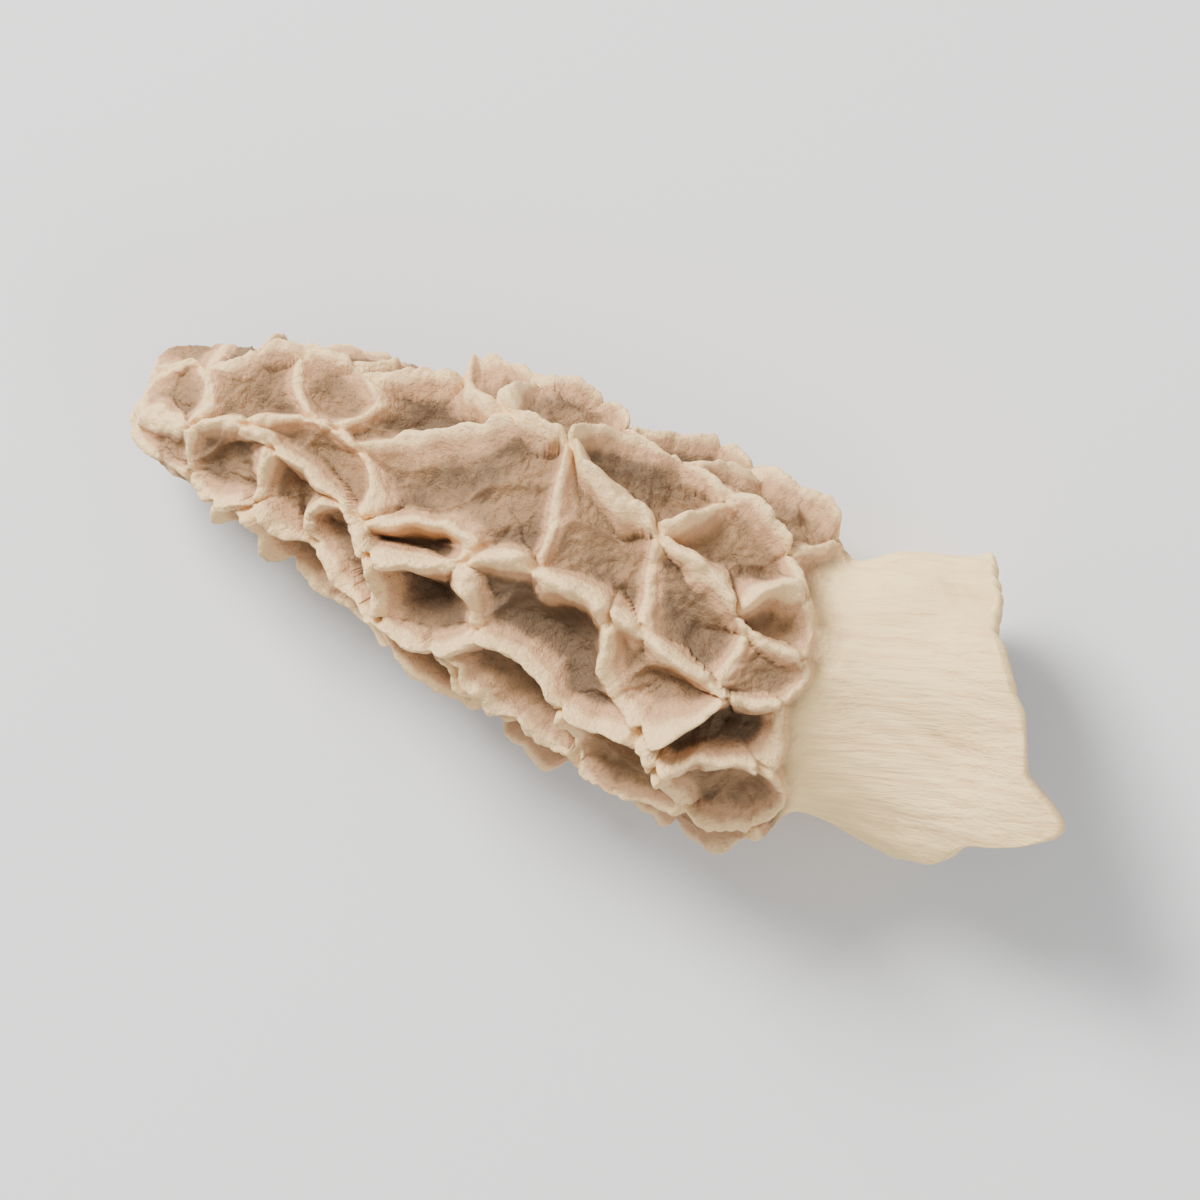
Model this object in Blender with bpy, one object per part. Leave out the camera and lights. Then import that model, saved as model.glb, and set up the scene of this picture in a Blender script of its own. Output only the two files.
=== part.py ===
"""A dried morel mushroom, lying on its side.

One closed solid: the pitted cap, the short flared stem, and the wall round the hollow, which opens at
the stem's cut end. +X runs from the cap's tip to the cut end, +Z is up, and Z = 0 is the surface that
the mushroom lies on. Lengths in this file are in millimetres until the mesh is scaled to metres.
"""

import math

import bmesh
import bpy
import numpy as np

METRES_PER_MM = 0.001

# ---- Driving dimensions ------------------------------------------------------------------------
# The body without its ridges, from the tip to the cut end: X, the middle's Y, half the width, half
# the height, and the height of its underside above the surface.
BODY = (
    (-24.2, 3.0, 0.0, 0.0, 4.4),
    (-23.8, 3.0, 2.0, 1.4, 3.0),
    (-22.0, 2.9, 3.0, 2.3, 2.2),
    (-18.5, 2.6, 3.9, 3.1, 1.8),
    (-14.5, 2.1, 4.8, 3.8, 1.7),
    (-9.5, 1.6, 5.6, 4.6, 1.6),
    (-5.0, 1.8, 6.8, 5.2, 1.6),
    (0.0, 0.7, 7.3, 5.6, 1.6),
    (4.5, -0.1, 7.7, 5.8, 1.6),
    (8.5, -0.9, 7.3, 5.5, 1.6),
    (11.0, -1.0, 6.9, 5.1, 1.6),
    (13.4, -0.1, 7.2, 5.1, 1.2),
    (17.0, 0.4, 7.7, 5.4, 0.4),
    (20.0, 0.8, 8.2, 5.9, -0.2),
)
# Where the cap's rim lies: its middle, and how much further it reaches on the -Y side.
RIM_X = 11.2
RIM_SLANT = 1.4
RIM_LAP = 1.1  # how far past its line the rim laps over the stem
RIM_DROP = 1.5  # the length over which it drops to the stem
TIP_TAPER = 9.0  # the length over which the ridges and pits grow from the tip
TIP_RIDGE = 0.45  # height of the ridges at the tip, as a share of those further along
# How far the torn end reaches at angles round the stem: 0 is up and 90 is +Y.
END_REACH = ((-180, 19.0), (-130, 19.2), (-90, 18.4), (-60, 20.6), (-32, 25.4), (-8, 22.4), (35, 19.8),
             (90, 17.9), (135, 18.6), (180, 19.0))
WALL = 1.15  # thickness of the dried wall between the ridges
HOLLOW_TIP_X = -19.2  # where the hollow ends inside the cap
RIDGE_HEIGHT = 1.9  # the tallest ridges, above the floors of the pits beside them
CREST = 0.6  # half the width of a ridge near its crest
FOOT = 0.9  # how far a ridge's foot spreads into the pits beside it
CROSS_RIDGE = 0.45  # height of the ridges that run across, as a share of those that run lengthwise

# The pits of the upper side: X, Y, length, width, turn of the length from +X towards +Y in degrees,
# and depth of the floor.
UPPER_PITS = (
    (-22.0, 3.2, 3.0, 1.8, 20, 0.1),
    (-22.0, 0.9, 2.6, 1.7, -5, 0.1),
    (-18.6, 4.3, 4.8, 2.3, 12, 0.3),
    (-18.4, 0.4, 4.0, 2.1, -6, 0.4),
    (-15.0, 2.5, 4.8, 2.5, -8, 0.1),
    (-14.8, 5.6, 4.4, 1.9, 10, 0.2),
    (-14.7, -0.8, 4.4, 2.2, -14, 0.4),
    (-11.3, 5.5, 5.0, 3.0, 4, 0.5),
    (-11.1, -1.8, 4.4, 1.6, -8, 0.5),
    (-7.6, 3.2, 7.8, 3.5, -16, 0.2),
    (-8.0, 0.5, 3.6, 1.7, 12, 1.2),
    (-7.2, -1.8, 3.4, 2.2, -4, 0.8),
    (-11.4, -4.2, 7.0, 2.5, -12, 0.0),
    (-7.6, 8.0, 4.6, 2.0, 6, 0.2),
    (-3.4, 8.3, 5.8, 2.6, 0, 0.3),
    (-5.2, -5.6, 5.0, 2.2, -14, 0.2),
    (-1.1, -2.2, 7.0, 2.5, -12, 0.9),
    (-0.6, -5.5, 5.4, 2.3, -14, 0.3),
    (0.0, 2.0, 5.2, 3.0, -14, 0.3),
    (1.6, 6.1, 5.4, 2.3, -8, 0.3),
    (2.6, 8.7, 4.6, 2.0, 4, 0.3),
    (4.2, -6.9, 5.4, 2.3, -12, 0.2),
    (5.4, 0.5, 5.0, 2.4, -14, 0.5),
    (5.4, -3.2, 5.0, 1.9, -16, 0.2),
    (6.6, 4.0, 5.2, 2.6, -8, 0.2),
    (6.6, 7.4, 5.0, 2.6, -4, 0.2),
    (9.2, 1.9, 3.4, 2.0, -8, 0.2),
    (9.2, -1.2, 3.6, 2.3, -8, 0.2),
    (9.2, -4.4, 5.0, 1.9, 12, 0.9),
    (9.8, -7.0, 5.4, 2.5, 2, 0.2),
)
# The long ridges that stand tallest on the upper side, each as its X and Y at a few places.
MAIN_RIDGES = (
    ((-12.0, 8.6), (-6.3, 6.4), (-1.7, 4.9), (2.8, 3.7), (9.0, 2.4)),
    ((-22.5, 2.2), (-17.5, 1.6), (-9.6, -0.8), (-4.8, -0.1), (3.8, -1.4), (7.4, -2.9)),
    ((-20.0, -0.9), (-14.7, -2.6), (-8.5, -2.9), (-4.3, -3.7), (2.0, -4.6), (7.0, -5.6)),
)
MEETING_REACH = 0.22  # how near three pits have to be for their ridges to count as meeting
MEETING_DROP = 0.28  # share of its height that a ridge loses there
MAIN_REACH = 1.3  # how near a main ridge's line a ridge has to be to gain from it
MAIN_GAIN = 0.3  # how much taller, and wider, the main ridges are than the rest
# The pits of the flanks and the underside stand in rows along the cap, at these angles.
UNDER_ANGLES = (98, 127, 156, 185, 214, 243, 268)
UNDER_PIT = (5.6, 3.0)
UNDER_FIRST_X = -22.6
UNDER_STAGGER = 2.6  # how far every second row is moved along
TIP_PIT = 0.55  # size of the pits at the tip, as a share of those further along
PIT_REACH = 2.2  # how far a pit reaches through the body, for the flanks behind it
RIM_REACH = 1.6  # how quickly the stem takes over from the pits beside the rim
CROWDED_BELOW_X = -12.0  # nearer the tip than this, every second row is left out

# The grid that the solid is thinned from, and the triangles left after thinning.
ROWS = 230
COLUMNS = 250
LIP_ROWS = 7
HOLLOW_ROWS = 40
TRIANGLES = 8400


# ---- Helpers -----------------------------------------------------------------------------------
def along(stations, at):
    """Points on a smooth curve through the stations. at counts the stations from 0."""
    table = np.array(stations, float)
    table = np.vstack([2 * table[0] - table[1], table, 2 * table[-1] - table[-2]])
    first = np.clip(at.astype(int), 0, len(stations) - 2)
    f = (at - first)[..., None]
    a, b, c, d = (table[first + k] for k in range(4))
    return b + 0.5 * f * (c - a + f * (2 * a - 5 * b + 4 * c - d + f * (3 * (b - c) + d - a)))


def even_steps(stations, count):
    """Where along the stations count points lie that are evenly spaced on the body's side."""
    at = np.linspace(0, len(stations) - 1, 2000)
    profile = along(stations, at)[:, (0, 2)]
    walked = np.append(0, np.cumsum(np.linalg.norm(np.diff(profile, axis=0), axis=1)))
    return np.interp(np.linspace(0, walked[-1], count), walked, at)


def smooth_step(value):
    value = np.clip(value, 0, 1)
    return value * value * (3 - 2 * value)


def waves(points, wavelength, seed):
    """A smooth random height at each point, mostly between -1 and 1."""
    rng = np.random.default_rng(seed)
    directions = rng.normal(size=(12, 3))
    directions /= np.linalg.norm(directions, axis=1, keepdims=True)
    directions *= rng.uniform(0.7, 1.3, (12, 1)) * math.tau / wavelength
    return np.sin(points @ directions.T + rng.uniform(0, math.tau, 12)).sum(axis=-1) / 4


def wave_shift(points, wavelength, seed):
    return np.stack([waves(points, wavelength, seed + axis) for axis in range(3)], axis=-1)


def unit(vectors):
    return vectors / np.maximum(np.linalg.norm(vectors, axis=-1, keepdims=True), 1e-9)


# ---- The body ----------------------------------------------------------------------------------
def end_reach(angle):
    """X of the torn end, eased from one of its stated angles to the next."""
    angles, reach = np.array(END_REACH, float).T
    degrees = np.degrees(np.mod(angle + math.pi, math.tau) - math.pi)
    place = np.interp(degrees, angles, np.arange(len(angles)))
    start = np.minimum(place.astype(int), len(angles) - 2)
    return reach[start] + (reach[start + 1] - reach[start]) * smooth_step(place - start)


def body_point(at, angle, inwards=0.0):
    """Points of the body without its ridges, some way inside its surface."""
    x, y, half_width, half_height, underside = np.moveaxis(along(BODY, at), -1, 0)
    stem_start, stem_end = RIM_X + 2, BODY[-1][0]
    past = np.clip((x - stem_start) / (stem_end - stem_start), 0, None)
    x = x + past**2 * (end_reach(angle) - stem_end)
    return np.stack(
        [
            x,
            y + (half_width - inwards) * np.sin(angle),
            underside + half_height + (half_height - inwards) * np.cos(angle),
        ],
        axis=-1,
    )


def frame_at(at, angle):
    """The point, and the unit vectors that run along the cap, across it and outwards."""
    step = 1e-3
    point = body_point(at, angle)
    lengthwise = unit(body_point(at + step, angle) - body_point(at - step, angle))
    round_it = unit(body_point(at, angle + step) - body_point(at, angle - step))
    outwards = unit(np.cross(lengthwise, round_it))
    return point, lengthwise, np.cross(outwards, lengthwise), outwards


def rim_x(angle):
    return RIM_X - RIM_SLANT * np.sin(angle)


def station_at_x(x):
    return np.interp(x, [row[0] for row in BODY], range(len(BODY)))


def all_pits():
    """Every pit as its station, angle, length, width, turn and depth."""
    pits = []
    for x, y, length, width, turn, depth in UPPER_PITS:
        at = station_at_x(x)
        _, middle, half_width, _, _ = along(BODY, np.array([at]))[0]
        side = (y - middle) / (half_width + RIDGE_HEIGHT / 2)
        pits.append((at, math.asin(max(-0.98, min(0.98, side))), length, width, turn, depth))
    rng = np.random.default_rng(7)
    for row, degrees in enumerate(UNDER_ANGLES):
        x = UNDER_FIRST_X + UNDER_STAGGER * (row % 2)
        while x < RIM_X:
            size = TIP_PIT + (1 - TIP_PIT) * smooth_step((x - UNDER_FIRST_X) / TIP_TAPER)
            length, width = np.array(UNDER_PIT) * size * rng.uniform(0.85, 1.15, 2)
            turn, jitter, depth = rng.uniform(-14, 14), rng.normal(0, 3), rng.uniform(0, 0.4)
            if row % 2 == 0 or x > CROWDED_BELOW_X:
                angle = math.radians(degrees + jitter)
                pits.append((station_at_x(x), angle, length, width, turn, depth))
            x += length
    return pits


def main_ridges(points, outwards):
    """How much each point belongs to one of the long main ridges, from 0 to 1."""
    off = np.full(len(points), np.inf)
    for line in np.array([point for ridge in MAIN_RIDGES for point in zip(ridge, ridge[1:])]):
        run = line[1] - line[0]
        offset = points[:, :2] - line[0]
        share = np.clip(offset @ run / (run @ run), 0, 1)
        off = np.minimum(off, np.linalg.norm(offset - share[:, None] * run, axis=1))
    return np.exp(-((off / MAIN_REACH) ** 2)) * smooth_step(outwards[:, 2] / 0.4)


def ridges(points, angle, outwards):
    """How far the surface stands out at each point, and how deep the pit's floor lies there."""
    at, around, length, width, turn, depth = np.array(all_pits()).T
    centre, lengthwise, across, upwards = frame_at(at, around)
    c, s = np.cos(np.radians(turn))[:, None], np.sin(np.radians(turn))[:, None]
    long_axis, short_axis = c * lengthwise + s * across, c * across - s * lengthwise
    axes = np.stack([long_axis, short_axis, upwards], axis=1)
    axes /= np.stack([length / 2, width / 2, np.full_like(length, PIT_REACH)], axis=1)[..., None]

    wandering = points + 0.45 * wave_shift(points, 6.0, 30) + 0.1 * wave_shift(points, 1.6, 40)
    offset = np.einsum("nkj,kij->nki", wandering[:, None] - centre, axes)
    reach = np.linalg.norm(offset, axis=-1)
    gradient = np.einsum("nki,kij->nkj", offset / reach[..., None], axes)
    # The stem counts as one more hollow, so that a ridge runs round the rim of the cap.
    past_rim = (rim_x(angle) - wandering[:, 0]) / RIM_REACH + 1
    reach = np.column_stack([reach, past_rim])
    towards_stem = np.broadcast_to([-1 / RIM_REACH, 0, 0], (len(points), 1, 3))
    gradient = np.concatenate([gradient, towards_stem], axis=1)

    nearest = np.argsort(reach, axis=1)[:, :3]
    row = np.arange(len(points))
    first, second, third = (reach[row, nearest[:, place]] for place in range(3))
    apart = gradient[row, nearest[:, 1]] - gradient[row, nearest[:, 0]]
    from_crest = (second - first) / np.maximum(np.linalg.norm(apart, axis=1), 0.15)
    runs_across = np.abs(unit(apart)[:, 0]) ** 2
    main = main_ridges(wandering, outwards)
    crest = CREST * (1 + MAIN_GAIN * main)
    shape = 0.55 * np.exp(-((from_crest / crest) ** 2)) + 0.45 * np.exp(-from_crest / FOOT)
    height = RIDGE_HEIGHT * (1 - (1 - CROSS_RIDGE) * runs_across * (1 - main))
    height = height * (1 + MAIN_GAIN * main + 0.2 * waves(points, 5.0, 50))
    meeting = np.exp(-(((third - first) / MEETING_REACH) ** 2))
    height = height * (1 - MEETING_DROP * meeting)
    tip = smooth_step((points[:, 0] - BODY[0][0]) / TIP_TAPER)
    stem = smooth_step((rim_x(angle) + RIM_LAP - wandering[:, 0]) / RIM_DROP)
    height = height * shape * (TIP_RIDGE + (1 - TIP_RIDGE) * tip) * stem
    floors = np.append(depth, 0)[nearest[:, 0]] * (1 - smooth_step(first)) * stem
    return height, floors


def dried(points):
    """The slow folds that drying leaves in the whole body."""
    return points + 0.5 * wave_shift(points, 15.0, 10) + 0.22 * wave_shift(points, 6.5, 20)


def skin_rows():
    """The closed skin as rows of points: outside from the tip, over the lip, and back inside."""
    columns = np.linspace(0, math.tau, COLUMNS, endpoint=False)
    at, angle = np.meshgrid(even_steps(BODY, ROWS)[1:], columns, indexing="ij")
    point, _, _, outwards = frame_at(at, angle)
    flat = point.reshape(-1, 3)
    height, floors = ridges(flat, angle.ravel(), outwards.reshape(-1, 3))
    outer = point + outwards * (height - floors).reshape(at.shape)[..., None]

    end = float(len(BODY) - 1)
    bend = np.linspace(0, math.pi, LIP_ROWS + 2)[1:-1, None]
    lip = body_point(np.full_like(angle[:LIP_ROWS], end), angle[:LIP_ROWS], WALL / 2 * (1 - np.cos(bend)))
    lip[..., 0] += WALL / 2 * np.sin(bend)

    hollow_end = station_at_x(HOLLOW_TIP_X)
    back = np.linspace(end, hollow_end, HOLLOW_ROWS)
    inner_at, inner_angle = np.meshgrid(back, columns, indexing="ij")
    base, _, _, towards = frame_at(inner_at, inner_angle)
    _, sunk = ridges(base.reshape(-1, 3), inner_angle.ravel(), towards.reshape(-1, 3))
    inner = body_point(inner_at, inner_angle, WALL) - towards * sunk.reshape(inner_at.shape)[..., None]
    return np.concatenate([outer, lip, inner])


# ---- Building ----------------------------------------------------------------------------------
def grid_mesh(name, rows, first_pole, last_pole):
    """A closed mesh through rows of points, with a fan to a pole at each end."""
    count, columns, _ = rows.shape
    build = bmesh.new()
    verts = [[build.verts.new(p) for p in row] for row in rows]
    start, stop = build.verts.new(first_pole), build.verts.new(last_pole)
    for column in range(columns):
        following = (column + 1) % columns
        build.faces.new((start, verts[0][column], verts[0][following]))
        build.faces.new((stop, verts[-1][following], verts[-1][column]))
        for row in range(count - 1):
            near, far = verts[row], verts[row + 1]
            build.faces.new((near[column], far[column], far[following], near[following]))
    bmesh.ops.recalc_face_normals(build, faces=build.faces)
    mesh = bpy.data.meshes.new(name)
    build.to_mesh(mesh)
    build.free()
    return mesh


def dried_tissue():
    material = bpy.data.materials.new("dried_tissue")
    material.use_nodes = True
    shader = material.node_tree.nodes["Principled BSDF"]
    shader.inputs["Base Color"].default_value = (0.52, 0.39, 0.27, 1)
    shader.inputs["Roughness"].default_value = 0.75
    shader.inputs["Metallic"].default_value = 0.0
    return material


def surface_cutter(size):
    """The block below the surface, which trims the lowest ridges to the flats that bear on it."""
    build = bmesh.new()
    bmesh.ops.create_cube(build, size=size)
    mesh = bpy.data.meshes.new("below_surface")
    build.to_mesh(mesh)
    build.free()
    cutter = bpy.data.objects.new("below_surface", mesh)
    cutter.location.z = -size / 2
    cutter.hide_render = True
    cutter.display_type = "WIRE"
    bpy.context.scene.collection.objects.link(cutter)
    return cutter


def build_morel():
    rows = dried(skin_rows())
    tip = dried(body_point(np.array([0.0]), np.array([0.0])))[0]
    hollow_tip = rows[-1].mean(axis=0) - (0.5, 0, 0)
    lowest, highest = rows.min(axis=(0, 1)), rows.max(axis=(0, 1))
    to_origin = np.array([*(-(lowest + highest)[:2] / 2), 0])
    rows, tip, hollow_tip = rows + to_origin, tip + to_origin, hollow_tip + to_origin
    mesh = grid_mesh("morel", rows * METRES_PER_MM, tip * METRES_PER_MM, hollow_tip * METRES_PER_MM)
    mesh.materials.append(dried_tissue())
    morel = bpy.data.objects.new("morel", mesh)
    bpy.context.scene.collection.objects.link(morel)
    thin = morel.modifiers.new("thin", "DECIMATE")
    thin.ratio = TRIANGLES / (2 * len(mesh.polygons))
    trim = morel.modifiers.new("trim", "BOOLEAN")
    trim.operation = "DIFFERENCE"
    trim.object = surface_cutter(0.2)
    mesh.shade_smooth()
    return morel


def main():
    for old in list(bpy.data.objects):
        bpy.data.objects.remove(old)
    build_morel()


main()
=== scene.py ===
"""Looks of a dried morel mushroom that lies on its side.

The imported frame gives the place, the size and the one rigid body. This file grows the fine skin round
it: the cap's ridges and pits, the rim that laps over the stem, the fibrous stem with its torn end, and
the hollow inside. The skin's shape is worked out in millimetres, with +X from the cap's tip to the
stem's cut end and +Z up, and is scaled to metres when its mesh is made.
"""

import math

import bpy
import numpy as np
from bpy.props import FloatProperty, FloatVectorProperty, IntProperty, PointerProperty
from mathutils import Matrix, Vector


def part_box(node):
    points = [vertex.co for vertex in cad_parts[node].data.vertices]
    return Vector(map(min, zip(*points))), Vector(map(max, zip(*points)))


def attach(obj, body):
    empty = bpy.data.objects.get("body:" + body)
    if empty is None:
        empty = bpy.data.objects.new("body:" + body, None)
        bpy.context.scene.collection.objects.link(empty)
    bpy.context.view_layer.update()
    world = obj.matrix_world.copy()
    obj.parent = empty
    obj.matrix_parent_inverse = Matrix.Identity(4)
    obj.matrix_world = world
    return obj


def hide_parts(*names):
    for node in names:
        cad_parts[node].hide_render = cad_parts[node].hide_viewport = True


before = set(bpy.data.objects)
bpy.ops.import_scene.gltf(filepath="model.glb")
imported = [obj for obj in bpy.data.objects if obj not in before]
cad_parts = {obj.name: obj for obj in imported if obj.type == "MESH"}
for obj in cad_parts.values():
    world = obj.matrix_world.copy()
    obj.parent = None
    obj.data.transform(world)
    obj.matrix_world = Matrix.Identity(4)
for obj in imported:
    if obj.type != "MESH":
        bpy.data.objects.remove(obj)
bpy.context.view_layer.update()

bl_info = {
    "name": "Dried Morel",
    "version": (1, 0, 0),
    "blender": (4, 5, 0),
    "location": "View3D > Sidebar > Morel",
    "description": "Grows a dried morel mushroom and the stage that it lies on",
    "category": "Add Mesh",
}

MM = 0.001
NODE_LOW, NODE_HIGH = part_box("morel")
MIDDLE = (NODE_LOW + NODE_HIGH) / 2
LENGTH = NODE_HIGH.x - NODE_LOW.x

# The body without its ridges, from the tip to the cut end, in mm: X, the middle's Y, half the width,
# half the height, and the height of its underside above the surface.
BODY = (
    (-24.2, 3.0, 0.0, 0.0, 4.4),
    (-23.8, 3.0, 2.0, 1.4, 3.0),
    (-22.0, 2.9, 3.0, 2.3, 2.2),
    (-18.5, 2.6, 3.9, 3.1, 1.8),
    (-14.5, 2.1, 4.8, 3.8, 1.7),
    (-9.5, 1.6, 5.6, 4.6, 1.6),
    (-5.0, 1.8, 6.8, 5.2, 1.6),
    (0.0, 0.7, 7.3, 5.6, 1.6),
    (4.5, -0.1, 7.7, 5.8, 1.6),
    (8.5, -0.9, 7.3, 5.5, 1.6),
    (11.0, -1.0, 6.9, 5.1, 1.6),
    (13.4, -0.1, 7.2, 5.1, 1.2),
    (17.0, 0.4, 7.7, 5.4, 0.4),
    (20.0, 0.8, 8.2, 5.9, -0.2),
)
# The cap's rim in mm: its middle, and how much further it reaches on the -Y side.
RIM_X = 11.2
RIM_SLANT = 1.4
RIM_LAP = 1.1  # how far past its line the rim laps over the stem
RIM_DROP = 1.5  # the length over which it drops to the stem
TIP_TAPER = 9.0  # the length over which the ridges and pits grow from the tip
TIP_RIDGE = 0.45  # height of the ridges at the tip, as a share of those further along
# How far the torn end reaches, in mm, at angles round the stem: 0 is up and 90 is +Y.
END_REACH = (
    (-180, 19.0),
    (-130, 19.2),
    (-90, 18.4),
    (-60, 20.6),
    (-32, 25.4),
    (-8, 22.4),
    (35, 19.8),
    (90, 17.9),
    (135, 18.6),
    (180, 19.0),
)
HOLLOW_TIP_X = -19.2

# The pits of the upper side: X, Y, length and width in mm, turn of the length from +X towards +Y in
# degrees, and depth of the floor in mm.
UPPER_PITS = (
    (-22.0, 3.2, 3.0, 1.8, 20, 0.1),
    (-22.0, 0.9, 2.6, 1.7, -5, 0.1),
    (-18.6, 4.3, 4.8, 2.3, 12, 0.3),
    (-18.4, 0.4, 4.0, 2.1, -6, 0.4),
    (-15.0, 2.5, 4.8, 2.5, -8, 0.1),
    (-14.8, 5.6, 4.4, 1.9, 10, 0.2),
    (-14.7, -0.8, 4.4, 2.2, -14, 0.4),
    (-11.3, 5.5, 5.0, 3.0, 4, 0.5),
    (-11.1, -1.8, 4.4, 1.6, -8, 0.5),
    (-7.6, 3.2, 7.8, 3.5, -16, 0.2),
    (-8.0, 0.5, 3.6, 1.7, 12, 1.2),
    (-7.2, -1.8, 3.4, 2.2, -4, 0.8),
    (-11.4, -4.2, 7.0, 2.5, -12, 0.0),
    (-7.6, 8.0, 4.6, 2.0, 6, 0.2),
    (-3.4, 8.3, 5.8, 2.6, 0, 0.3),
    (-5.2, -5.6, 5.0, 2.2, -14, 0.2),
    (-1.1, -2.2, 7.0, 2.5, -12, 0.9),
    (-0.6, -5.5, 5.4, 2.3, -14, 0.3),
    (0.0, 2.0, 5.2, 3.0, -14, 0.3),
    (1.6, 6.1, 5.4, 2.3, -8, 0.3),
    (2.6, 8.7, 4.6, 2.0, 4, 0.3),
    (4.2, -6.9, 5.4, 2.3, -12, 0.2),
    (5.4, 0.5, 5.0, 2.4, -14, 0.5),
    (5.4, -3.2, 5.0, 1.9, -16, 0.2),
    (6.6, 4.0, 5.2, 2.6, -8, 0.2),
    (6.6, 7.4, 5.0, 2.6, -4, 0.2),
    (9.2, 1.9, 3.4, 2.0, -8, 0.2),
    (9.2, -1.2, 3.6, 2.3, -8, 0.2),
    (9.2, -4.4, 5.0, 1.9, 12, 0.9),
    (9.8, -7.0, 5.4, 2.5, 2, 0.2),
)
# The long ridges that stand tallest on the upper side, each as its X and Y at a few places, in mm.
MAIN_RIDGES = (
    ((-12.0, 8.6), (-6.3, 6.4), (-1.7, 4.9), (2.8, 3.7), (9.0, 2.4)),
    ((-22.5, 2.2), (-17.5, 1.6), (-9.6, -0.8), (-4.8, -0.1), (3.8, -1.4), (7.4, -2.9)),
    ((-20.0, -0.9), (-14.7, -2.6), (-8.5, -2.9), (-4.3, -3.7), (2.0, -4.6), (7.0, -5.6)),
)
MEETING_REACH = 0.22  # how near three pits have to be for their ridges to count as meeting
MEETING_DROP = 0.42  # share of its height that a ridge loses there
MAIN_REACH = 1.3  # how near a main ridge's line a ridge has to be to gain from it, in mm
# The pits of the flanks and the underside stand in rows along the cap, at these angles.
UNDER_ANGLES = (98, 127, 156, 185, 214, 243, 268)
UNDER_PIT = (5.6, 3.0)
UNDER_FIRST_X = -22.6
UNDER_STAGGER = 2.6  # how far every second row is moved along
TIP_PIT = 0.55  # size of the pits at the tip, as a share of those further along
CROWDED_BELOW_X = -12.0  # nearer the tip than this, every second row is left out
RIM_REACH = 1.6  # mm within which the stem takes over from the pits beside the rim
PIT_REACH = 2.2  # mm that a pit reaches through the body, for the flanks behind it
FIBRE_TURN = math.radians(14)  # the stem's fibres run this far off the X axis
STEM_RADIUS = 8.0  # mm, about the stem's radius at its torn end
STRETCH_FROM = 2.0  # mm past the rim from which the stem stretches to its torn end
HOLLOW_CAP = 0.5  # mm that the hollow's closed end reaches past its last row

CREST_SHARE = 0.55  # share of a ridge's height in its thin crest, the rest being its wide foot
CREST_ROUND = 0.15  # mm over which the foot's edge is rounded at the crest
LEAST_GROWTH = 0.15  # least that the distances from two pits grow apart in a mm
SHALLOW_TONE = 0.8  # tone of a pit with no depth, where the lightest is 1 and the darkest -1
SHADE_BY_DEPTH = 2.0  # painted shade: how much darker a pit is painted for each mm of depth
TONE_SPREAD = 0.3  # how far a pit's tone strays from that
MAIN_HIGHLIGHT = 0.2  # painted highlight: how much paler the main ridges, which stand tallest on the upper side, are painted

WAVES = 12  # waves that add up to a smooth random height
LIP_ROWS = 10  # rows round the torn edge
PROFILE_STEPS = 2000  # steps in which the body's length is measured
POINTS_AT_ONCE = 20000  # points whose pits are looked up together

SURFACE_REACH = 40  # half the surface's side, in lengths of the morel
VIEW_WIDTH = 1.18  # width of the camera's view, in lengths of the morel
SKY_TINT = (0.95, 0.97, 1.0)  # a little cooler than the lamps


# ---- Colours and nodes -------------------------------------------------------------------------
def linear(code):
    """The linear colour of an sRGB hex code."""
    parts = [int(code[k : k + 2], 16) / 255 for k in (1, 3, 5)]
    return tuple(p / 12.92 if p <= 0.04045 else ((p + 0.055) / 1.055) ** 2.4 for p in parts)


def add_node(tree, kind, inputs=(), **settings):
    """Adds a node, applies its settings, and links or sets each (socket, value) of its inputs."""
    made = tree.nodes.new(kind)
    for name, value in settings.items():
        setattr(made, name, value)
    for socket, value in inputs:
        if isinstance(value, bpy.types.NodeSocket):
            tree.links.new(value, made.inputs[socket])
        else:
            made.inputs[socket].default_value = value
    return made


# ---- Settings ----------------------------------------------------------------------------------
class MorelShape(bpy.types.PropertyGroup):
    """Sizes of the skin."""

    ridge_height: FloatProperty(
        name="Ridge height",
        description="The tallest ridges, above the floors of the pits beside them",
        default=1.65 * MM,
        unit="LENGTH",
    )
    crest: FloatProperty(
        name="Crest",
        description="Half the width of a ridge near its crest",
        default=0.43 * MM,
        unit="LENGTH",
    )
    foot: FloatProperty(
        name="Foot",
        description="How far a ridge's foot spreads into the pits beside it",
        default=0.85 * MM,
        unit="LENGTH",
    )
    main_gain: FloatProperty(
        name="Main ridges",
        description="How much taller and wider the long main ridges are than the rest",
        default=0.42,
        min=0,
        max=1,
        subtype="FACTOR",
    )
    cross_ridge: FloatProperty(
        name="Cross ridges",
        description="Height of the ridges that run across, as a share of the lengthwise ones",
        default=0.38,
        min=0,
        max=1,
        subtype="FACTOR",
    )
    wall: FloatProperty(
        name="Wall",
        description="Thickness of the dried wall between the ridges",
        default=1.15 * MM,
        unit="LENGTH",
    )
    wrinkle: FloatProperty(
        name="Wrinkles",
        description="Depth of the drying wrinkles in the pits and on the stem",
        default=0.11 * MM,
        unit="LENGTH",
    )
    rows: IntProperty(name="Rows", description="Rows of the skin, tip to cut end", default=560, min=50)
    columns: IntProperty(name="Columns", description="Columns round the skin", default=520, min=50)


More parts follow.
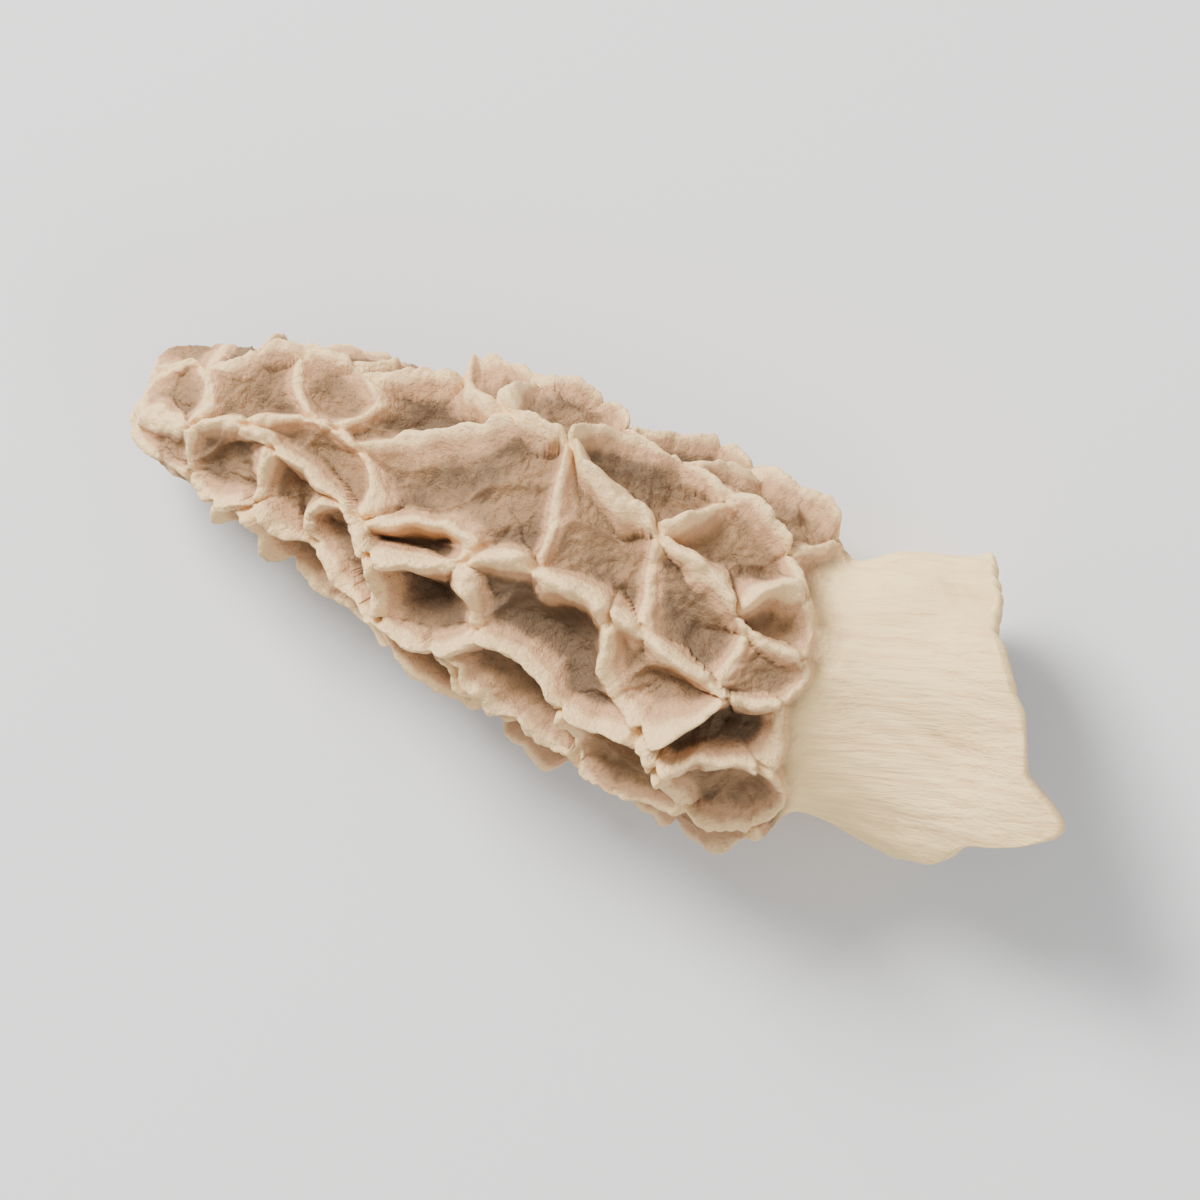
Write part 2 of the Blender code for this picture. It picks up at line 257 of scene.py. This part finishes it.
class MorelFinish(bpy.types.PropertyGroup):
    """Colours of the dried tissue."""

    crest_colour: FloatVectorProperty(
        name="Crest",
        description="Bleached tops of the ridges",
        default=linear("#FFD69C"),
        subtype="COLOR",
    )
    flank_colour: FloatVectorProperty(
        name="Flank",
        description="Sides of the ridges",
        default=linear("#D3A377"),
        subtype="COLOR",
    )
    floor_colour: FloatVectorProperty(
        name="Floor",
        description="Floors of the pits",
        default=linear("#A5805A"),
        subtype="COLOR",
    )
    # Partly painted shade: the darkest colour, painted into the deepest pits and inside the hollow as well as
    # on the olive floors.
    olive_floor_and_shade_colour: FloatVectorProperty(
        name="Deep floor",
        description="The darkest, olive floors",
        default=linear("#6E573F"),
        subtype="COLOR",
    )
    stem_colour: FloatVectorProperty(
        name="Stem",
        description="The stem between its fibres",
        default=linear("#FFDC9E"),
        subtype="COLOR",
    )
    fibre_colour: FloatVectorProperty(
        name="Fibres",
        description="The darker fibres that run along the stem",
        default=linear("#F4CC90"),
        subtype="COLOR",
    )
    # Painted shade: the lining of the hollow is painted far darker than the stem outside.
    hollow_lining_and_shade_colour: FloatVectorProperty(
        name="Hollow",
        description="The lining of the hollow",
        default=linear("#AA8864"),
        subtype="COLOR",
    )


class MorelStage(bpy.types.PropertyGroup):
    """The surface, the lights and the camera."""

    surface_colour: FloatVectorProperty(
        name="Surface",
        description="The plain surface that the morel lies on",
        default=linear("#DFDEDC"),
        subtype="COLOR",
    )
    key_power: FloatProperty(name="Key", description="Power of the key light", default=5.4, unit="POWER")
    fill_power: FloatProperty(name="Fill", description="Power of the fill", default=1.0, unit="POWER")
    sky: FloatProperty(name="Sky", description="Strength of the light from all round", default=0.68)
    lens: FloatProperty(name="Lens", description="Focal length in millimetres", default=200.0)
    turn: FloatProperty(
        name="Camera turn",
        description="How far the camera is rolled, so that the stem points down and to the right",
        default=math.radians(19),
        subtype="ANGLE",
    )


# ---- The skin ----------------------------------------------------------------------------------
def along(stations, at):
    """Points on a smooth curve through the stations. at counts the stations from 0."""
    table = np.array(stations, float)
    table = np.vstack([2 * table[0] - table[1], table, 2 * table[-1] - table[-2]])
    first = np.clip(at.astype(int), 0, len(stations) - 2)
    f = (at - first)[..., None]
    a, b, c, d = (table[first + k] for k in range(4))
    return b + 0.5 * f * (c - a + f * (2 * a - 5 * b + 4 * c - d + f * (3 * (b - c) + d - a)))


def even_steps(stations, count):
    """Where along the stations count points lie that are evenly spaced on the body's side."""
    at = np.linspace(0, len(stations) - 1, PROFILE_STEPS)
    profile = along(stations, at)[:, (0, 2)]
    walked = np.append(0, np.cumsum(np.linalg.norm(np.diff(profile, axis=0), axis=1)))
    return np.interp(np.linspace(0, walked[-1], count), walked, at)


def smooth_step(value):
    """Eases from 0 to 1 as the value does."""
    value = np.clip(value, 0, 1)
    return value * value * (3 - 2 * value)


def waves(points, wavelength, seed):
    """A smooth random height at each point, mostly between -1 and 1."""
    rng = np.random.default_rng(seed)
    directions = rng.normal(size=(WAVES, 3))
    directions /= np.linalg.norm(directions, axis=1, keepdims=True)
    directions *= rng.uniform(0.7, 1.3, (WAVES, 1)) * math.tau / wavelength
    return np.sin(points @ directions.T + rng.uniform(0, math.tau, WAVES)).sum(axis=-1) / 4


def wave_shift(points, wavelength, seed):
    """A smooth random shift of each point along X, Y and Z."""
    return np.stack([waves(points, wavelength, seed + axis) for axis in range(3)], axis=-1)


def unit(vectors):
    """The vectors at a length of 1."""
    return vectors / np.maximum(np.linalg.norm(vectors, axis=-1, keepdims=True), 1e-9)


def end_reach(angle):
    """X of the torn end, eased from one of its stated angles to the next."""
    angles, reach = np.array(END_REACH, float).T
    degrees = np.degrees(np.mod(angle + math.pi, math.tau) - math.pi)
    place = np.interp(degrees, angles, np.arange(len(angles)))
    start = np.minimum(place.astype(int), len(angles) - 2)
    smooth = reach[start] + (reach[start + 1] - reach[start]) * smooth_step(place - start)
    ring = STEM_RADIUS * np.stack([np.cos(angle), np.sin(angle), np.zeros_like(angle)], axis=-1)
    # Coarse and fine fibres stand out of the tear.
    return smooth + 0.16 * waves(ring, 2.6, 60) + 0.07 * waves(ring, 0.9, 61)


def body_point(at, angle, inwards=0.0):
    """Points of the body without its ridges, some way inside its surface."""
    x, y, half_width, half_height, underside = np.moveaxis(along(BODY, at), -1, 0)
    stem_start, stem_end = RIM_X + STRETCH_FROM, BODY[-1][0]
    past = np.clip((x - stem_start) / (stem_end - stem_start), 0, None)
    x = x + past**2 * (end_reach(angle) - stem_end)
    return np.stack(
        [
            x,
            y + (half_width - inwards) * np.sin(angle),
            underside + half_height + (half_height - inwards) * np.cos(angle),
        ],
        axis=-1,
    )


def frame_at(at, angle):
    """The point, and the unit vectors that run along the cap, across it and outwards."""
    step = 1e-3
    point = body_point(at, angle)
    lengthwise = unit(body_point(at + step, angle) - body_point(at - step, angle))
    round_it = unit(body_point(at, angle + step) - body_point(at, angle - step))
    outwards = unit(np.cross(lengthwise, round_it))
    return point, lengthwise, np.cross(outwards, lengthwise), outwards


def rim_x(angle):
    """X of the cap's rim at an angle round the cap."""
    return RIM_X - RIM_SLANT * np.sin(angle)


def station_at_x(x):
    """Where along the body's stations X is, counted from 0."""
    return np.interp(x, [row[0] for row in BODY], range(len(BODY)))


def all_pits(ridge_height):
    """Every pit as its station, angle, length, width, turn and depth."""
    pits = []
    for x, y, length, width, turn, depth in UPPER_PITS:
        at = station_at_x(x)
        _, middle, half_width, _, _ = along(BODY, np.array([at]))[0]
        side = (y - middle) / (half_width + ridge_height / 2)
        pits.append((at, math.asin(max(-0.98, min(0.98, side))), length, width, turn, depth))
    rng = np.random.default_rng(7)
    for row, degrees in enumerate(UNDER_ANGLES):
        x = UNDER_FIRST_X + UNDER_STAGGER * (row % 2)
        while x < RIM_X:
            size = TIP_PIT + (1 - TIP_PIT) * smooth_step((x - UNDER_FIRST_X) / TIP_TAPER)
            length, width = np.array(UNDER_PIT) * size * rng.uniform(0.85, 1.15, 2)
            turn, jitter, depth = rng.uniform(-14, 14), rng.normal(0, 3), rng.uniform(0, 0.4)
            if row % 2 == 0 or x > CROWDED_BELOW_X:
                angle = math.radians(degrees + jitter)
                pits.append((station_at_x(x), angle, length, width, turn, depth))
            x += length
    return np.array(pits)


def nearest_pits(points, angle, pits):
    """The pits nearest each point: how far off three are, as shares of their sizes, how the first two
    grow apart, and which is the first."""
    at, around, length, width, turn, _ = pits.T
    centre, lengthwise, across, upwards = frame_at(at, around)
    c, s = np.cos(np.radians(turn))[:, None], np.sin(np.radians(turn))[:, None]
    axes = np.stack([c * lengthwise + s * across, c * across - s * lengthwise, upwards], axis=1)
    axes /= np.stack([length / 2, width / 2, np.full_like(length, PIT_REACH)], axis=1)[..., None]
    offset = np.einsum("nkj,kij->nki", points[:, None] - centre, axes)
    reach = np.linalg.norm(offset, axis=-1)
    gradient = np.einsum("nki,kij->nkj", offset / reach[..., None], axes)
    # The stem counts as one more hollow, so that a ridge runs round the rim of the cap.
    reach = np.column_stack([reach, (rim_x(angle) - points[:, 0]) / RIM_REACH + 1])
    towards_stem = np.broadcast_to([-1 / RIM_REACH, 0, 0], (len(points), 1, 3))
    gradient = np.concatenate([gradient, towards_stem], axis=1)
    order = np.argsort(reach, axis=1)[:, :3]
    row = np.arange(len(points))[:, None]
    reach, gradient = reach[row, order], gradient[row, order]
    return reach, gradient[:, 1] - gradient[:, 0], order[:, 0]


def main_ridges(points, outwards):
    """How much each point belongs to one of the long main ridges, from 0 to 1."""
    off = np.full(len(points), np.inf)
    for line in np.array([point for ridge in MAIN_RIDGES for point in zip(ridge, ridge[1:])]):
        run = line[1] - line[0]
        offset = points[:, :2] - line[0]
        share = np.clip(offset @ run / (run @ run), 0, 1)
        off = np.minimum(off, np.linalg.norm(offset - share[:, None] * run, axis=1))
    return np.exp(-((off / MAIN_REACH) ** 2)) * smooth_step(outwards[:, 2] / 0.4)


def relief(points, angle, outwards, shape):
    """What the pits and ridges do at each point of the body: a dictionary of arrays."""
    ridge_height = shape.ridge_height / MM
    pits = all_pits(ridge_height)
    # The ridges sway slowly and waver finely.
    wandering = points + 0.45 * wave_shift(points, 6.0, 30) + 0.1 * wave_shift(points, 1.6, 40)
    parts = [
        nearest_pits(wandering[start : start + POINTS_AT_ONCE], angle[start : start + POINTS_AT_ONCE], pits)
        for start in range(0, len(points), POINTS_AT_ONCE)
    ]
    reach, apart, pit = (np.concatenate(column) for column in zip(*parts))
    from_crest = (reach[:, 1] - reach[:, 0]) / np.maximum(np.linalg.norm(apart, axis=1), LEAST_GROWTH)
    runs_across = unit(apart)[:, 0] ** 2
    main = main_ridges(wandering, outwards)
    crest = shape.crest / MM * (1 + shape.main_gain * main + 0.25 * waves(points, 3.2, 70))
    rounded = np.sqrt(from_crest**2 + CREST_ROUND**2) - CREST_ROUND
    thin_crest = np.exp(-((from_crest / crest) ** 2))
    wide_foot = np.exp(-rounded / (shape.foot / MM))
    profile = CREST_SHARE * thin_crest + (1 - CREST_SHARE) * wide_foot
    uneven = 1 + shape.main_gain * main + 0.2 * waves(points, 5.0, 50) + 0.1 * waves(points, 1.7, 51)
    height = ridge_height * (1 - (1 - shape.cross_ridge) * runs_across * (1 - main)) * uneven
    meeting = np.exp(-(((reach[:, 2] - reach[:, 0]) / MEETING_REACH) ** 2))
    height = height * (1 - MEETING_DROP * meeting)
    tip = smooth_step((points[:, 0] - BODY[0][0]) / TIP_TAPER)
    cap = smooth_step((rim_x(angle) + RIM_LAP - wandering[:, 0]) / RIM_DROP)
    share = profile * cap
    # Deeper pits are painted darker, which is painted shade, and no two are quite alike.
    stray = np.random.default_rng(3).uniform(-TONE_SPREAD, TONE_SPREAD, len(pits))
    tones_and_shade = np.append(SHALLOW_TONE - SHADE_BY_DEPTH * pits[:, 5] + stray, 0)
    depths = np.append(pits[:, 5], 0)
    return {
        "height": height * share * (TIP_RIDGE + (1 - TIP_RIDGE) * tip),
        "sunk": depths[pit] * (1 - smooth_step(reach[:, 0])) * cap,
        # The main ridges on the upper side get a painted highlight.
        "crest": share * (1 + MAIN_HIGHLIGHT * main),
        "cap": cap,
        "tone_and_shade": tones_and_shade[pit],
    }


def dried(points):
    """The slow folds that drying leaves in the whole body."""
    return points + 0.5 * wave_shift(points, 15.0, 10) + 0.22 * wave_shift(points, 6.5, 20)


def wrinkles(points, cap, crest):
    """Fine drying wrinkles: folds and a crinkled net in the pits, and fibres that run along the stem."""
    folds = (1 - np.abs(waves(points * (0.45, 1, 1), 3.4, 96))) ** 4
    net = np.abs(waves(points, 1.3, 90)) + 0.7 * np.abs(waves(points, 0.6, 91))
    stretched = points * (0.16, 1, 1)
    fibres = 0.4 * waves(stretched, 1.5, 92) + 0.25 * waves(stretched, 0.7, 93)
    dents = 2.0 * waves(points * (0.4, 1, 1), 5.0, 97)
    return cap * (net - 0.6 + 4.5 * folds * (1 - crest)) + (1 - cap) * (fibres + dents)


def skin(shape):
    """The closed skin as rows of points, with a value of each attribute at every point."""
    columns = np.linspace(0, math.tau, shape.columns, endpoint=False) + math.pi
    at, angle = np.meshgrid(even_steps(BODY, shape.rows)[1:], columns, indexing="ij")
    point, _, _, outwards = frame_at(at, angle)
    flat = relief(point.reshape(-1, 3), angle.ravel(), outwards.reshape(-1, 3), shape)
    outer = {name: value.reshape(at.shape + value.shape[1:]) for name, value in flat.items()}
    wrinkle = wrinkles(point.reshape(-1, 3), flat["cap"], np.minimum(flat["crest"], 1)).reshape(at.shape)
    out = outer["height"] - outer["sunk"] + shape.wrinkle / MM * wrinkle
    skin_outer = point + outwards * out[..., None]

    wall = shape.wall / MM
    end = float(len(BODY) - 1)
    bend = np.linspace(0, math.pi, LIP_ROWS + 2)[1:-1, None]
    ring = angle[: len(bend)]
    lip = body_point(np.full_like(ring, end), ring, wall / 2 * (1 - np.cos(bend)))
    lip[..., 0] += wall / 2 * np.sin(bend)

    # The hollow is smoother than the outside, so a third of the rows is enough.
    back = np.linspace(end, station_at_x(HOLLOW_TIP_X), shape.rows // 3)
    inner_at, inner_angle = np.meshgrid(back, columns, indexing="ij")
    base, _, _, towards = frame_at(inner_at, inner_angle)
    inside = relief(base.reshape(-1, 3), inner_angle.ravel(), towards.reshape(-1, 3), shape)
    from_edge = smooth_step((end - inner_at.ravel()) * 2)
    ribs = 0.12 * waves(base.reshape(-1, 3) * (0.25, 1, 1), 2.2, 95) * from_edge
    sunk = (inside["sunk"] + ribs).reshape(inner_at.shape)
    inner = body_point(inner_at, inner_angle, wall) - towards * sunk[..., None]

    rows = np.concatenate([skin_outer, lip, inner])
    blank = np.zeros(rows.shape[:2])
    values = {name: blank.copy() for name in ("crest", "sunk", "tone_and_shade", "cap", "hollow")}
    for name in ("crest", "sunk", "tone_and_shade", "cap"):
        values[name][: len(at)] = outer[name]
    values["hollow"][len(at) + len(bend) :] = 1
    values["hollow"][len(at) : len(at) + len(bend)] = np.linspace(0, 1, len(bend))[:, None]
    return dried(rows), values


def skin_mesh(name, shape):
    """The mesh of the skin: a grid of quads closed by a fan at each end."""
    rows, values = skin(shape)
    count, columns, _ = rows.shape
    tip = dried(body_point(np.array([0.0]), np.array([0.0])))[0]
    hollow_tip = rows[-1].mean(axis=0) - (HOLLOW_CAP, 0, 0)
    lowest, highest = rows.min(axis=(0, 1)), rows.max(axis=(0, 1))
    to_middle = np.array([*(np.array(MIDDLE)[:2] / MM - (lowest + highest)[:2] / 2), 0])
    points = np.vstack([rows.reshape(-1, 3), tip, hollow_tip]) + to_middle
    points[:, 2] = np.maximum(points[:, 2], 0)

    row, column = np.meshgrid(np.arange(count - 1), np.arange(columns), indexing="ij")
    near, far = row * columns, (row + 1) * columns
    following = (column + 1) % columns
    quads = np.stack([near + column, far + column, far + following, near + following], axis=-1)
    ring, ring_next = np.arange(columns), (np.arange(columns) + 1) % columns
    last = (count - 1) * columns
    first_fan = np.stack([np.full(columns, count * columns), ring, ring_next], axis=-1)
    last_fan = np.stack([np.full(columns, count * columns + 1), last + ring_next, last + ring], axis=-1)
    mesh = bpy.data.meshes.new(name)
    faces = quads.reshape(-1, 4).tolist() + first_fan.tolist() + last_fan.tolist()
    mesh.from_pydata((points * MM).tolist(), [], faces)
    for label, value in values.items():
        layer = mesh.attributes.new(label, "FLOAT", "POINT")
        layer.data.foreach_set("value", np.append(value.ravel(), [0, value[-1, 0]]).astype(np.float32))

    # Rows run up the UV map and columns across it, so the map has no seam but one underneath.
    u, v = column / columns, (row + 1) / (count + 1)
    step_u, step_v = 1 / columns, 1 / (count + 1)
    corners = [(u, v), (u, v + step_v), (u + step_u, v + step_v), (u + step_u, v)]
    quad_uv = np.stack([np.stack(corner, axis=-1) for corner in corners], axis=2).reshape(-1, 2)
    left = ring / columns
    zeros, full = np.zeros(columns), np.ones(columns)
    low = np.stack([left + step_u / 2, zeros, left, zeros + step_v, left + step_u, zeros + step_v], axis=-1)
    top = full - step_v
    high = np.stack([left + step_u / 2, full, left + step_u, top, left, top], axis=-1)
    layout = mesh.uv_layers.new(name="OFBake")
    uv = np.concatenate([quad_uv.ravel(), low.ravel(), high.ravel()])
    layout.uv.foreach_set("vector", uv.astype(np.float32))
    mesh.shade_smooth()
    return mesh


# ---- Materials ---------------------------------------------------------------------------------
def layered(tree, ground, layers):
    """Paints colours over a ground. Each layer is what drives it, the two values between which it
    grows, how strong it gets, and its colour."""
    for driver, low, high, strength, colour in layers:
        share = add_node(
            tree,
            "ShaderNodeMapRange",
            [("Value", driver), ("From Min", low), ("From Max", high), ("To Max", strength)],
            interpolation_type="SMOOTHSTEP",
        )
        over = [(0, share.outputs[0]), (6, ground), (7, (*colour, 1))]
        ground = add_node(tree, "ShaderNodeMix", over, data_type="RGBA").outputs[2]
    return ground


def dried_morel_tissue(finish):
    """Air-dried morel tissue: matt and slightly waxy, bleached on the crests and the stem, and brown
    to olive in the pits, where the spores were, with painted shade that darkens the deeper pits and
    the hollow's lining. Light goes a little way into it."""
    material = bpy.data.materials.new("dried_morel_tissue")
    material.use_nodes = True
    tree = material.node_tree
    shader = tree.nodes["Principled BSDF"]
    shader.inputs["IOR"].default_value = 1.45
    shader.inputs["Specular IOR Level"].default_value = 0.35
    shader.inputs["Subsurface Weight"].default_value = 0.08
    shader.inputs["Subsurface Scale"].default_value = 0.6 * MM
    shader.inputs["Subsurface Radius"].default_value = (1.0, 0.55, 0.3)

    # Places in mm, and the same ones drawn out along the stem's fibres.
    place = add_node(tree, "ShaderNodeTexCoord").outputs["Object"]
    in_mm = add_node(tree, "ShaderNodeMapping", [("Vector", place), ("Scale", (1 / MM,) * 3)]).outputs[0]
    turned = [("Vector", in_mm), ("Rotation", (0, 0, -FIBRE_TURN))]
    turned = add_node(tree, "ShaderNodeMapping", turned).outputs[0]
    drawn_out = [("Vector", turned), ("Scale", (0.1, 1, 1))]
    fibre_wise = add_node(tree, "ShaderNodeMapping", drawn_out).outputs[0]
    crest, sunk, tone_and_shade, cap, hollow = (
        add_node(tree, "ShaderNodeAttribute", attribute_name=name).outputs["Fac"]
        for name in ("crest", "sunk", "tone_and_shade", "cap", "hollow")
    )
    # Each noise: where it is read, the size of its grain in mm, its detail and its roughness.
    blotches, patches, stains, creases, grain, small, fibres, streaks = (
        add_node(
            tree,
            "ShaderNodeTexNoise",
            [("Vector", where), ("Scale", 1 / size), ("Detail", detail), ("Roughness", roughness)],
        ).outputs["Fac"]
        for where, size, detail, roughness in (
            (in_mm, 2.6, 4, 0.6),
            (in_mm, 1.1, 4, 0.65),
            (in_mm, 1.8, 4, 0.6),
            (in_mm, 0.8, 5, 0.7),
            (in_mm, 0.35, 3, 0.6),
            (in_mm, 0.22, 4, 0.7),
            (fibre_wise, 0.55, 5, 0.65),
            (fibre_wise, 0.28, 4, 0.6),
        )
    )
    # What blotches a pit's tone and its painted shade, and how far up a ridge's side a place counts as being.
    blotch_and_shade, rough_crest = (
        add_node(
            tree,
            "ShaderNodeMath",
            [(0, value), (1, share), (2, base)],
            operation="MULTIPLY_ADD",
        ).outputs[0]
        for value, share, base in ((tone_and_shade, 0.22, blotches), (patches, 0.3, crest))
    )
    finer = [(0, grain), (1, 0.14), (2, rough_crest)]
    up = add_node(tree, "ShaderNodeMath", finer, operation="MULTIPLY_ADD").outputs[0]

    # The pits are brown to olive and painted darker the deeper they sink, which is painted shade, and the
    # ridges pale towards their crests.
    tissue = layered(
        tree,
        (*finish.olive_floor_and_shade_colour, 1),
        [
            # Painted shade: pits whose tone is darkened by their depth keep more of the darkest ground.
            (blotch_and_shade, 0.3, 0.72, 1, finish.floor_colour),
            # Painted shade: the deeper a pit's floor sinks, the more of the darkest colour it is painted.
            (sunk, 0.15, 0.9, 0.75, finish.olive_floor_and_shade_colour),
            (up, 0.4, 0.72, 1, finish.flank_colour),
            (up, 0.84, 1.14, 1, finish.crest_colour),
        ],
    )
    stem = layered(
        tree,
        (*finish.fibre_colour, 1),
        [(fibres, 0.3, 0.6, 1, finish.stem_colour), (stains, 0.56, 0.74, 0.35, finish.flank_colour)],
    )
    # Painted shade: the hollow's lining is painted dark, on a ground of the darkest colour.
    lining = layered(tree, (*finish.olive_floor_and_shade_colour, 1), [(blotches, 0.3, 0.7, 1, finish.hollow_lining_and_shade_colour)])
    outside = add_node(tree, "ShaderNodeMix", [(0, cap), (6, stem), (7, tissue)], data_type="RGBA").outputs[2]
    colour = add_node(tree, "ShaderNodeMix", [(0, hollow), (6, outside), (7, lining)], data_type="RGBA")
    tree.links.new(colour.outputs[2], shader.inputs["Base Color"])
    waxy = [("Value", grain), ("From Min", 0.2), ("From Max", 0.8), ("To Min", 0.62), ("To Max", 0.82)]
    tree.links.new(add_node(tree, "ShaderNodeMapRange", waxy).outputs[0], shader.inputs["Roughness"])

    # Creases and a fine skin on the cap, and only the fibres' streaks on the stem.
    folds = add_node(tree, "ShaderNodeMix", [(0, cap), (2, 0.5), (3, creases)]).outputs[0]
    rough = add_node(tree, "ShaderNodeMix", [(0, cap), (2, streaks), (3, small)]).outputs[0]
    broad = add_node(tree, "ShaderNodeBump", [("Height", folds), ("Distance", 0.5 * MM), ("Strength", 0.8)])
    fine = add_node(
        tree,
        "ShaderNodeBump",
        [("Height", rough), ("Distance", 0.16 * MM), ("Strength", 1.0), ("Normal", broad.outputs[0])],
    )
    tree.links.new(fine.outputs["Normal"], shader.inputs["Normal"])
    return material


def plain_surface(look):
    """Smooth matt board: it only catches the soft shadow."""
    material = bpy.data.materials.new("matt_board")
    material.use_nodes = True
    shader = material.node_tree.nodes["Principled BSDF"]
    shader.inputs["Base Color"].default_value = (*look.surface_colour, 1)
    shader.inputs["Roughness"].default_value = 0.9
    shader.inputs["Specular IOR Level"].default_value = 0.2
    return material


# ---- Operators ---------------------------------------------------------------------------------
class MOREL_OT_body(bpy.types.Operator):
    """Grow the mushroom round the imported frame"""

    bl_idname = "morel.body"
    bl_label = "Morel"

    def execute(self, context):
        scene = context.scene
        mesh = skin_mesh("dried_morel", scene.morel_shape)
        mesh.materials.append(dried_morel_tissue(scene.morel_finish))
        morel = bpy.data.objects.new("dried_morel", mesh)
        scene.collection.objects.link(morel)
        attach(morel, "root")
        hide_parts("morel")
        return {"FINISHED"}


def add_light(scene, name, size, power, place, target):
    """Adds a square soft lamp that faces its target."""
    light = bpy.data.lights.new(name, "AREA")
    light.energy, light.size = power, size
    lamp = bpy.data.objects.new(name, light)
    lamp.location = place
    lamp.rotation_euler = (target - place).to_track_quat("-Z", "Y").to_euler()
    scene.collection.objects.link(lamp)


class MOREL_OT_stage(bpy.types.Operator):
    """Lay the surface, and set the lights and the camera"""

    bl_idname = "morel.stage"
    bl_label = "Stage"

    def execute(self, context):
        scene, look = context.scene, context.scene.morel_stage
        reach = SURFACE_REACH * LENGTH
        corners = [(-reach, -reach, 0), (reach, -reach, 0), (reach, reach, 0), (-reach, reach, 0)]
        mesh = bpy.data.meshes.new("surface")
        mesh.from_pydata(corners, [], [(0, 1, 2, 3)])
        mesh.materials.append(plain_surface(look))
        surface = bpy.data.objects.new("surface", mesh)
        scene.collection.objects.link(surface)

        # The camera's right and up, so that the key light comes from its upper left.
        right = Vector((math.cos(look.turn), math.sin(look.turn), 0))
        up = Vector((-math.sin(look.turn), math.cos(look.turn), 0))
        above = Vector((0, 0, 1))
        key_at = MIDDLE + LENGTH * (-4.5 * right + 5.5 * up + 6.0 * above)
        fill_at = MIDDLE + LENGTH * (6.0 * right - 5.0 * up + 5.0 * above)
        add_light(scene, "key", 3.5 * LENGTH, look.key_power, key_at, MIDDLE)
        add_light(scene, "fill", 6.0 * LENGTH, look.fill_power, fill_at, MIDDLE)

        world = bpy.data.worlds.new("soft_sky")
        world.use_nodes = True
        sky = world.node_tree.nodes["Background"]
        sky.inputs["Color"].default_value = (*SKY_TINT, 1)
        sky.inputs["Strength"].default_value = look.sky
        scene.world = world

        eye = bpy.data.cameras.new("camera")
        eye.lens = look.lens
        eye.clip_start = 0.01
        camera = bpy.data.objects.new("camera", eye)
        view_width = VIEW_WIDTH * LENGTH
        camera.location = MIDDLE + above * (view_width * look.lens / eye.sensor_width)
        camera.rotation_euler = (0, 0, look.turn)
        scene.collection.objects.link(camera)
        scene.camera = camera
        return {"FINISHED"}


class MOREL_PT_panel(bpy.types.Panel):
    """Morel settings in the sidebar"""

    bl_idname = "MOREL_PT_panel"
    bl_label = "Dried Morel"
    bl_space_type = "VIEW_3D"
    bl_region_type = "UI"
    bl_category = "Morel"

    def draw(self, context):
        scene, layout = context.scene, self.layout
        for settings in (scene.morel_shape, scene.morel_finish, scene.morel_stage):
            for name in settings.__annotations__:
                layout.prop(settings, name)
        layout.operator(MOREL_OT_body.bl_idname)
        layout.operator(MOREL_OT_stage.bl_idname)


CLASSES = (MorelShape, MorelFinish, MorelStage, MOREL_OT_body, MOREL_OT_stage, MOREL_PT_panel)


def register():
    for item in CLASSES:
        bpy.utils.register_class(item)
    bpy.types.Scene.morel_shape = PointerProperty(type=MorelShape)
    bpy.types.Scene.morel_finish = PointerProperty(type=MorelFinish)
    bpy.types.Scene.morel_stage = PointerProperty(type=MorelStage)


def unregister():
    del bpy.types.Scene.morel_stage, bpy.types.Scene.morel_finish, bpy.types.Scene.morel_shape
    for item in reversed(CLASSES):
        bpy.utils.unregister_class(item)


def main():
    register()
    bpy.ops.morel.body()
    bpy.ops.morel.stage()
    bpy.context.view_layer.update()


if __name__ == "__main__":
    main()
